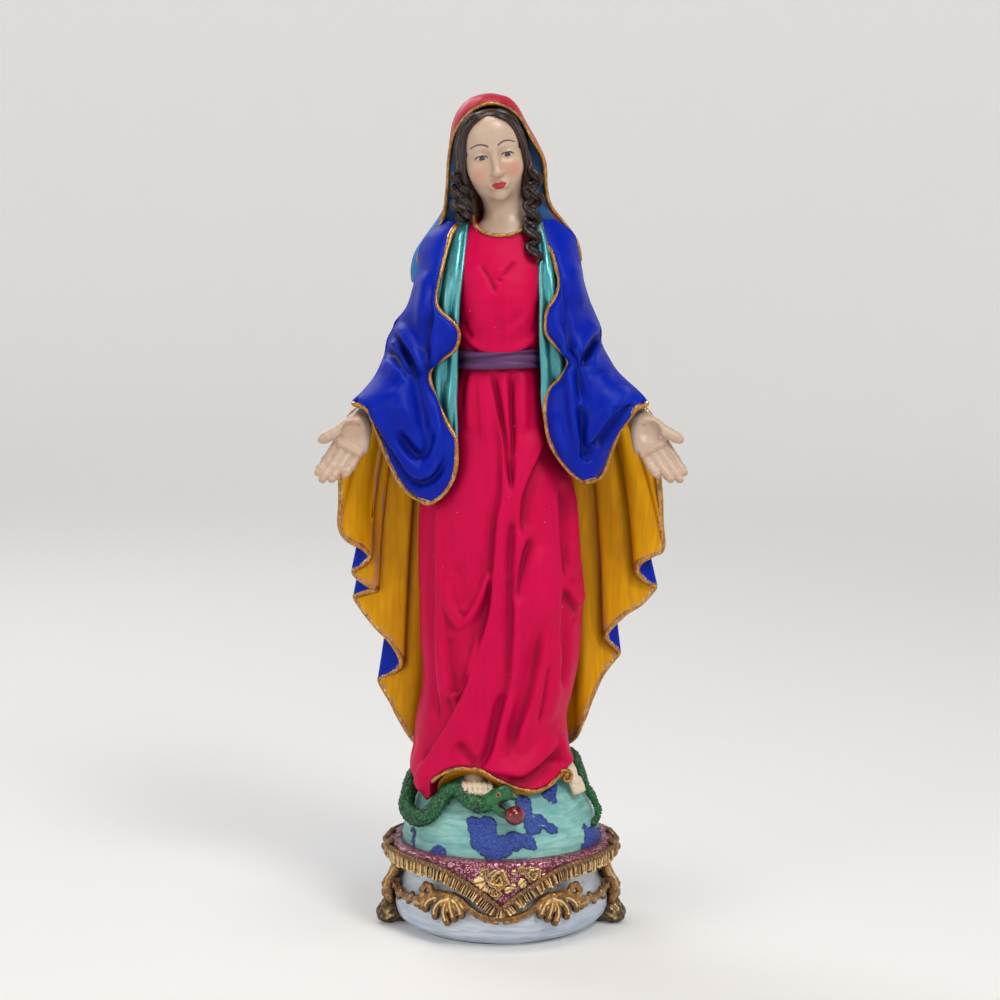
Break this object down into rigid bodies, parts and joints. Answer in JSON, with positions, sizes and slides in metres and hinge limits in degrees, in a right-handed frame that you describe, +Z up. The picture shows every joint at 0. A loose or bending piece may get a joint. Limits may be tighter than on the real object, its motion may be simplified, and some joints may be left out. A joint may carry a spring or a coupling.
{
  "type": "devotional statue",
  "caption": "Painted cast statue of a veiled, robed woman with open hands, standing on a globe and serpent, on a round plinth with gold scrollwork.",
  "frame": {"origin": "centre of the flat underside, on the surface the statue stands on", "axes": "+Z up to the crown of the veil; the figure faces -Y; +X is to the right for a viewer facing it"},
  "size_m": [0.2162, 0.1412, 0.5],
  "materials": {
    "plinth_paint": "matt hand-brushed pale blue-grey paint",
    "gold_paint": "satin metallic gold paint with dark wash",
    "cloth_paint": "satin burgundy paint, dry-brushed silver-pink",
    "globe_paint": "matt brushed sea green-blue paint",
    "land_paint": "matt cobalt blue paint on a stippled relief",
    "gown_paint": "matt fluorescent pink paint",
    "sash_paint": "satin plum paint",
    "yellow_paint": "satin ochre-yellow paint",
    "blue_paint": "satin ultramarine paint",
    "teal_paint": "pearl teal paint",
    "red_paint": "satin crimson paint",
    "skin_paint": "satin flesh paint",
    "hair_paint": "dark brown paint with pewter highlights",
    "snake_paint": "satin green paint over cut scales",
    "apple_paint": "gloss dark red paint",
    "steel": "plain drawn wire and rod",
    "card": "raw fibreboard",
    "felt": "dark green felt"
  },
  "bodies": {
    "root": {"centre_pin": "steel", "plinth": "plinth_paint", "base_card": "card", "felt_pad": "felt", "drape_cloth": "cloth_paint", "fringe_front": "gold_paint", "fringe_back": "gold_paint", "roses_front": "gold_paint", "roses_back": "gold_paint", "bracket_left": "gold_paint", "bracket_right": "gold_paint", "scroll_foot_left": "gold_paint", "scroll_foot_right": "gold_paint", "acanthus_front_left": "gold_paint", "acanthus_front_right": "gold_paint", "acanthus_back_left": "gold_paint", "acanthus_back_right": "gold_paint", "globe": "globe_paint", "land_relief": "land_paint", "hem_lining": "yellow_paint", "gown": "gown_paint", "bodice": "gown_paint", "sash": "sash_paint", "serpent": "snake_paint", "apple": "apple_paint", "foot_front": "skin_paint", "foot_side": "skin_paint", "head": "skin_paint", "hair": "hair_paint", "ringlet_left": "hair_paint", "ringlet_right": "hair_paint", "hand_left": "skin_paint", "hand_right": "skin_paint", "hand_pin_left": "steel", "hand_pin_right": "steel", "sleeve_left": "blue_paint", "sleeve_right": "blue_paint", "cloak_lining_left": "teal_paint", "cloak_lining_right": "teal_paint", "veil": "red_paint", "mantle_back": "blue_paint"}
  },
  "joints": []
}
